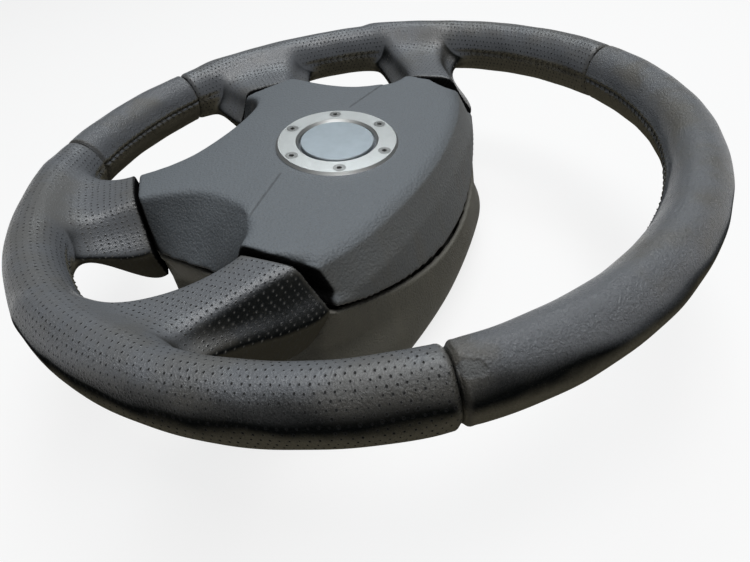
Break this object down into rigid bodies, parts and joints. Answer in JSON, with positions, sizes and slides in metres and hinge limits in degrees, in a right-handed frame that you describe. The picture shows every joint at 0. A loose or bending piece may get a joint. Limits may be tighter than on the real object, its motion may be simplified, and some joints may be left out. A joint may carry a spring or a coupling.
{
  "type": "steering wheel",
  "caption": "Car steering wheel with a leather-wrapped rim and spokes, a sprung horn pad with a bare badge ring, and a moulded rear cover round a column bore.",
  "frame": {"origin": "on the steering axis, at the back of the rear cover's ring, which is the lowest point as it lies", "axes": "+Z from the column to the driver, +Y to twelve o'clock, +X to three o'clock as the driver sees it"},
  "size_m": [0.37, 0.37, 0.1116],
  "materials": {
    "leather": "worn, satin",
    "pad_skin": "fine grain",
    "shell": "fine grain, dusty",
    "bright_ring": "turned",
    "badge_plate": "satin",
    "bright_screw": "plated",
    "casting": "as cast",
    "steel": "plated",
    "spring_steel": "blued",
    "contact": "plain",
    "insulating": "plain",
    "can": "plain",
    "cloth": "folded"
  },
  "bodies": {
    "wheel": {"armature": "casting", "hub_boss": "steel", "smooth_grips": "leather", "perforated_grips": "leather", "rear_cover": "shell", "cover_screws": "steel", "guide_bushes": "insulating", "horn_springs": "spring_steel", "contact_insulators": "insulating", "fixed_contacts": "contact"},
    "horn_pad": {"pad_cover": "pad_skin", "badge_ring": "bright_ring", "badge_disc": "badge_plate", "badge_screws": "bright_screw", "moving_contacts": "contact", "module_plate": "steel", "pad_screws": "steel", "inflator": "can", "retainer_ring": "steel", "module_nuts": "steel", "cushion": "cloth", "guide_bolts": "steel"}
  },
  "joints": [
    {"name": "horn_press", "type": "slide", "parent": "wheel", "child": "horn_pad", "axis": [0, 0, -1], "range_m": [0, 0.0025], "stiffness_N_per_m": 8000, "springref_m": -0.0025, "deforming": ["horn_springs"]}
  ]
}
